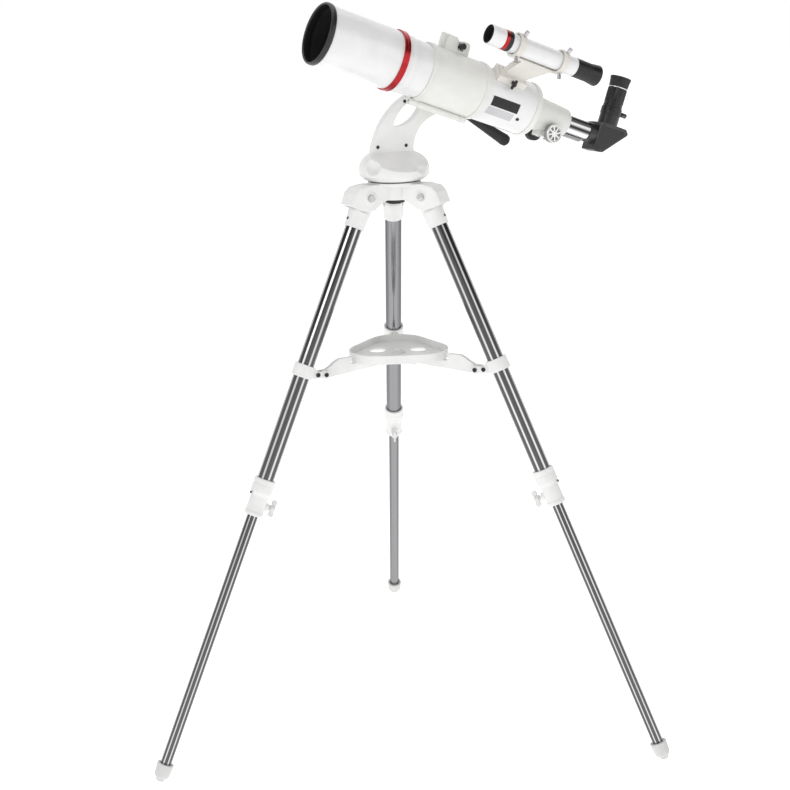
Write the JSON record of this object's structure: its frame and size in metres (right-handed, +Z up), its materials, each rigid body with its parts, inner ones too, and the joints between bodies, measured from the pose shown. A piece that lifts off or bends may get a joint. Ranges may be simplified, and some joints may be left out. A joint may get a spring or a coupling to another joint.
{
  "type": "refractor telescope",
  "caption": "Short refractor on a single-arm altazimuth mount and spread tripod, with finder, star diagonal, rack focuser and accessory tray.",
  "frame": {"origin": "centre of the object's outer box on the floor, between the three feet; the azimuth axis stands at X 34.3 mm, Y -26.4 mm", "axes": "+Z up, the height; the optical tube lies parallel to the XZ plane and points towards -X; the altitude axis is parallel to Y and the mount's arm is on the tube's +Y side"},
  "size_m": [1.0522, 0.9725, 1.4039],
  "materials": {
    "white_plastic": "fine moulded satin",
    "grey_plastic": "satin",
    "leg_steel": "polished stainless, drawn lengthways",
    "foot_rubber": "matt moulded",
    "screw_steel": "turned",
    "dark_screw": "black oxide",
    "mount_paint": "painted aluminium, satin, very fine texture",
    "cradle_paint": "painted aluminium, warm white satin",
    "tube_paint": "painted aluminium, gloss white",
    "bracket_paint": "painted aluminium, warm white satin",
    "red_metal": "anodised deep red, gloss",
    "black_plastic": "fine moulded",
    "black_rubber": "matt",
    "black_metal": "painted aluminium, satin black",
    "chrome": "polished",
    "knob_metal": "satin with dark rim",
    "glass": "coated"
  },
  "bodies": {
    "head": {"tripod_head": "white_plastic", "leg_pivot_bolts": "screw_steel"},
    "leg_1": {"leg_cap_1": "white_plastic", "leg_upper_tube_1": "leg_steel", "leg_collar_1": "white_plastic", "tray_bracket_1": "white_plastic"},
    "lower_leg_1": {"leg_lower_tube_1": "leg_steel", "foot_1": "foot_rubber"},
    "leg_lock_1": {"leg_lock_screw_1": "grey_plastic"},
    "spreader_1": {"spreader_arm_1": "white_plastic"},
    "leg_2": {"leg_cap_2": "white_plastic", "leg_upper_tube_2": "leg_steel", "leg_collar_2": "white_plastic", "tray_bracket_2": "white_plastic"},
    "lower_leg_2": {"leg_lower_tube_2": "leg_steel", "foot_2": "foot_rubber"},
    "leg_lock_2": {"leg_lock_screw_2": "grey_plastic"},
    "spreader_2": {"spreader_arm_2": "white_plastic"},
    "leg_3": {"leg_cap_3": "white_plastic", "leg_upper_tube_3": "leg_steel", "leg_collar_3": "white_plastic", "tray_bracket_3": "white_plastic"},
    "lower_leg_3": {"leg_lower_tube_3": "leg_steel", "foot_3": "foot_rubber"},
    "leg_lock_3": {"leg_lock_screw_3": "grey_plastic"},
    "spreader_3": {"spreader_arm_3": "white_plastic"},
    "hub": {"spreader_hub": "white_plastic"},
    "tray": {"accessory_tray": "white_plastic"},
    "turntable": {"mount_base": "mount_paint", "azimuth_spindle": "screw_steel", "arm": "mount_paint", "arm_screws": "dark_screw"},
    "telescope": {"cradle_back": "cradle_paint", "cradle_hinge_pin": "screw_steel", "altitude_shaft": "screw_steel", "handle_clamp": "dark_screw", "main_tube": "tube_paint", "lens_cell": "tube_paint", "red_ring": "red_metal", "dew_shield": "tube_paint", "front_lip": "black_plastic", "objective_lenses": "glass", "focuser_body": "cradle_paint", "finder_shoe": "bracket_paint"},
    "cradle_door": {"cradle_door": "cradle_paint"},
    "latch": {"cradle_latch_bolt": "black_plastic"},
    "grip": {"handle_grip": "black_rubber"},
    "draw": {"drawtube": "chrome"},
    "pinion": {"pinion_shaft": "screw_steel", "focus_knobs": "knob_metal"},
    "diagonal": {"diagonal_body": "black_plastic"},
    "diagonal_lock": {"diagonal_screw": "dark_screw"},
    "eyepiece": {"eyepiece_body": "black_metal", "eyepiece_lenses": "glass"},
    "finder": {"finder_bracket": "bracket_paint", "finder_screws": "dark_screw", "finder_tube": "tube_paint", "finder_eyepiece": "black_metal", "finder_lenses": "glass"},
    "finder_lock": {"shoe_screw": "black_plastic"}
  },
  "joints": [
    {"name": "leg_fold_1", "type": "hinge", "parent": "head", "child": "leg_1", "pos_m": [-0.0319, -0.03272, 1.055], "axis": [0.095, -0.9955, 0], "range_deg": [0, 9]},
    {"name": "spreader_fold_1", "type": "hinge", "parent": "leg_1", "child": "spreader_1", "pos_m": [-0.13098, -0.04217, 0.73204], "axis": [0.095, -0.9955, 0], "range_deg": [0, 38]},
    {"name": "leg_extend_1", "type": "slide", "parent": "leg_1", "child": "lower_leg_1", "axis": [0.4181, 0.0399, 0.9075], "range_m": [0, 0.46]},
    {"name": "leg_lock_turn_1", "type": "hinge", "parent": "leg_1", "child": "leg_lock_1", "pos_m": [-0.2754, -0.05595, 0.50045], "axis": [0.9034, 0.0862, -0.42], "continuous": true},
    {"name": "leg_fold_2", "type": "hinge", "parent": "head", "child": "leg_2", "pos_m": [0.07287, -0.08057, 1.055], "axis": [0.8146, 0.58, 0], "range_deg": [0, 9]},
    {"name": "spreader_fold_2", "type": "hinge", "parent": "leg_2", "child": "spreader_2", "pos_m": [0.1306, -0.16165, 0.73204], "axis": [0.8146, 0.58, 0], "range_deg": [0, 38]},
    {"name": "leg_extend_2", "type": "slide", "parent": "leg_2", "child": "lower_leg_2", "axis": [-0.2436, 0.3421, 0.9075], "range_m": [0, 0.46]},
    {"name": "leg_lock_turn_2", "type": "hinge", "parent": "leg_2", "child": "leg_lock_2", "pos_m": [0.21474, -0.27983, 0.50045], "axis": [-0.5264, 0.7393, -0.42], "continuous": true},
    {"name": "leg_fold_3", "type": "hinge", "parent": "head", "child": "leg_3", "pos_m": [0.06193, 0.03409, 1.055], "axis": [-0.9096, 0.4155, 0], "range_deg": [0, 9]},
    {"name": "spreader_fold_3", "type": "hinge", "parent": "leg_3", "child": "spreader_3", "pos_m": [0.10329, 0.12462, 0.73204], "axis": [-0.9096, 0.4155, 0], "range_deg": [0, 38]},
    {"name": "leg_extend_3", "type": "slide", "parent": "leg_3", "child": "lower_leg_3", "axis": [-0.1745, -0.382, 0.9075], "range_m": [0, 0.46]},
    {"name": "leg_lock_turn_3", "type": "hinge", "parent": "leg_3", "child": "leg_lock_3", "pos_m": [0.16356, 0.25658, 0.50045], "axis": [-0.3771, -0.8255, -0.42], "continuous": true},
    {"name": "hub_rise", "type": "slide", "parent": "head", "child": "hub", "axis": [0, 0, 1], "range_m": [0, 0.087]},
    {"name": "tray_twist", "type": "hinge", "parent": "hub", "child": "tray", "pos_m": [0.0343, -0.0264, 0.75], "axis": [0, 0, 1], "range_deg": [0, 60]},
    {"name": "azimuth", "type": "hinge", "parent": "head", "child": "turntable", "pos_m": [0.0343, -0.0264, 1.082], "axis": [0, 0, 1], "continuous": true},
    {"name": "altitude", "type": "hinge", "parent": "turntable", "child": "telescope", "pos_m": [0.1257, -0.0844, 1.2586], "axis": [0, 1, 0], "range_deg": [-39, 48]},
    {"name": "door_open", "type": "hinge", "parent": "telescope", "child": "cradle_door", "pos_m": [0.10655, -0.0844, 1.20459], "axis": [0.9425, 0, -0.3341], "range_deg": [0, 95]},
    {"name": "latch_turn", "type": "hinge", "parent": "telescope", "child": "latch", "pos_m": [0.14412, -0.0844, 1.32103], "axis": [0, 1, 0], "continuous": true},
    {"name": "grip_twist", "type": "hinge", "parent": "telescope", "child": "grip", "pos_m": [0.12102, 0.0041, 1.24541], "axis": [0.8497, 0, -0.5273], "range_deg": [-180, 180]},
    {"name": "focus_travel", "type": "slide", "parent": "telescope", "child": "draw", "axis": [0.9425, 0, -0.3341], "range_m": [-0.045, 0.03]},
    {"name": "focus_turn", "type": "hinge", "parent": "telescope", "child": "pinion", "pos_m": [0.32653, -0.0844, 1.15589], "axis": [0, 1, 0], "range_deg": [-430, 287]},
    {"name": "diagonal_turn", "type": "hinge", "parent": "draw", "child": "diagonal", "pos_m": [0.43956, -0.0844, 1.14733], "axis": [0.9425, 0, -0.3341], "continuous": true},
    {"name": "diagonal_lock_turn", "type": "hinge", "parent": "diagonal", "child": "diagonal_lock", "pos_m": [0.50157, -0.0844, 1.18158], "axis": [0.9425, 0, -0.3341], "continuous": true},
    {"name": "eyepiece_pull", "type": "slide", "parent": "diagonal", "child": "eyepiece", "axis": [0.3341, 0, 0.9425], "range_m": [0, 0.024]},
    {"name": "finder_slide", "type": "slide", "parent": "telescope", "child": "finder", "axis": [0.9425, 0, -0.3341], "range_m": [0, 0.07]},
    {"name": "finder_lock_turn", "type": "hinge", "parent": "telescope", "child": "finder_lock", "pos_m": [0.22904, -0.13092, 1.25981], "axis": [-0.2205, -0.7513, -0.6221], "continuous": true}
  ],
  "couplings": [
    {"joint": "spreader_fold_1", "follows": "leg_fold_1", "ratio": 4.2222},
    {"joint": "leg_fold_2", "follows": "leg_fold_1", "ratio": 1},
    {"joint": "spreader_fold_2", "follows": "leg_fold_1", "ratio": 4.2222},
    {"joint": "leg_fold_3", "follows": "leg_fold_1", "ratio": 1},
    {"joint": "spreader_fold_3", "follows": "leg_fold_1", "ratio": 4.2222},
    {"joint": "hub_rise", "follows": "leg_fold_1", "m_per_rad": 0.55386},
    {"joint": "focus_turn", "follows": "focus_travel", "rad_per_m": 166.67}
  ]
}
